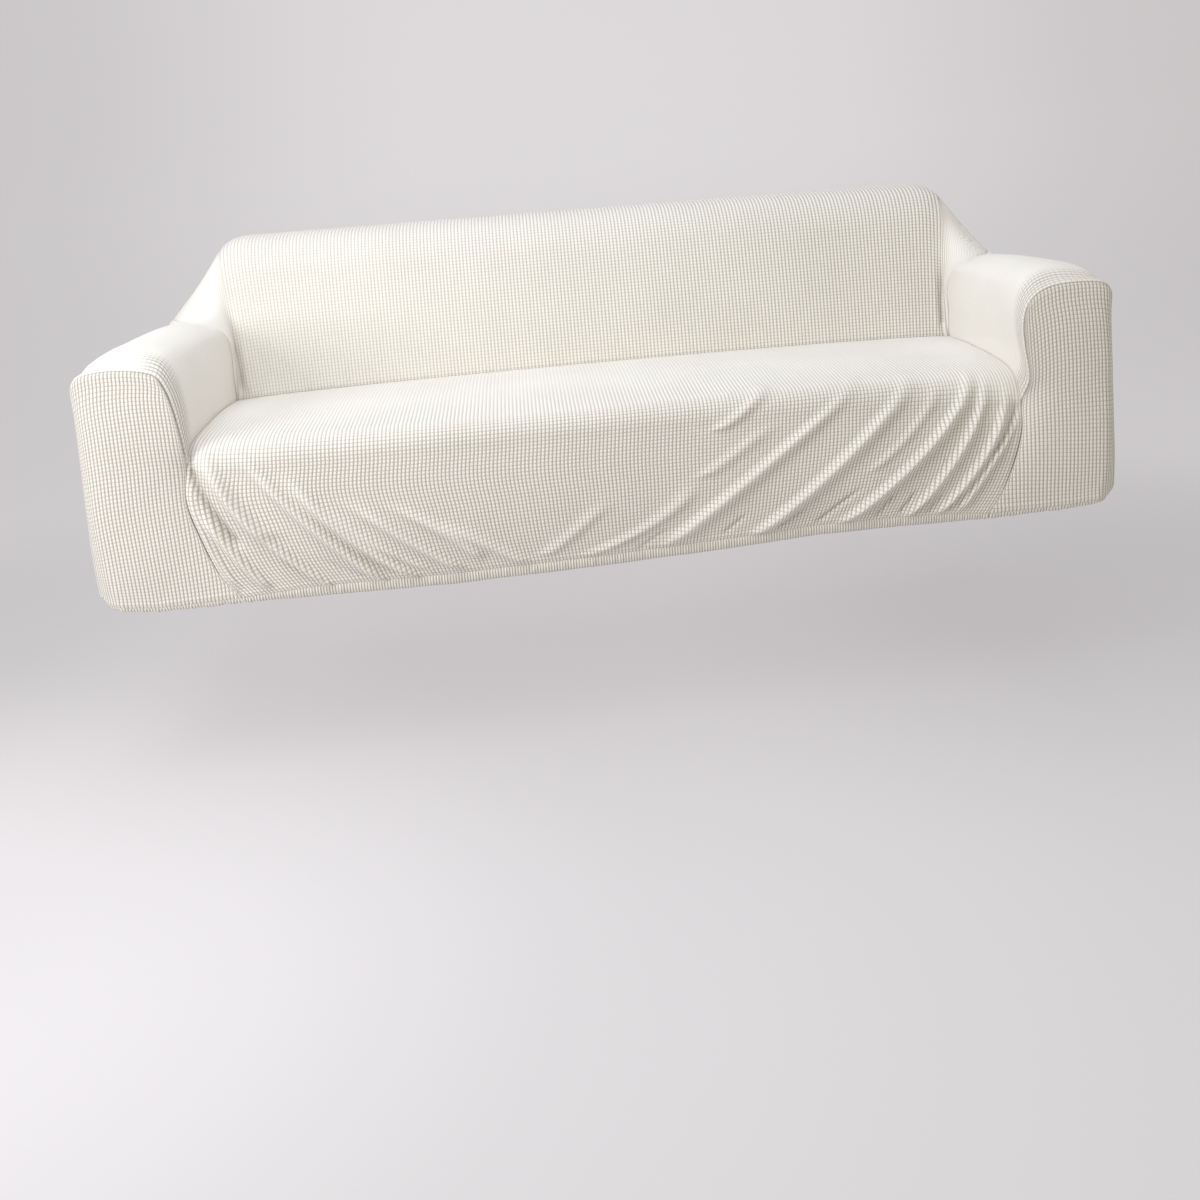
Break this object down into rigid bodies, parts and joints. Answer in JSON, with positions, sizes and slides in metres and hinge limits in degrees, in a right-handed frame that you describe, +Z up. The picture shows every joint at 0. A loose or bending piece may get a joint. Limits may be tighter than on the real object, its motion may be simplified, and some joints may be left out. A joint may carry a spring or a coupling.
{
  "type": "sofa slipcover",
  "caption": "Fitted stretch cover for a square-armed sofa, in ivory grid knit, with drag folds across its front and an elastic hem; hollow and open underneath.",
  "frame": {"origin": "middle of the cover's outline seen from above, at the lowest point of its hem", "axes": "+X to the right of someone who faces the cover, along its length; +Y from its front to its back; +Z up"},
  "size_m": [2.2198, 0.8154, 0.7088],
  "materials": {
    "knit": "matt stretch knit with a raised grid"
  },
  "bodies": {
    "root": {"seat_and_skirt": "knit", "inside_back": "knit", "outside_back": "knit", "arm_sleeve_left": "knit", "arm_sleeve_right": "knit", "arm_front_left": "knit", "arm_front_right": "knit"}
  },
  "joints": []
}
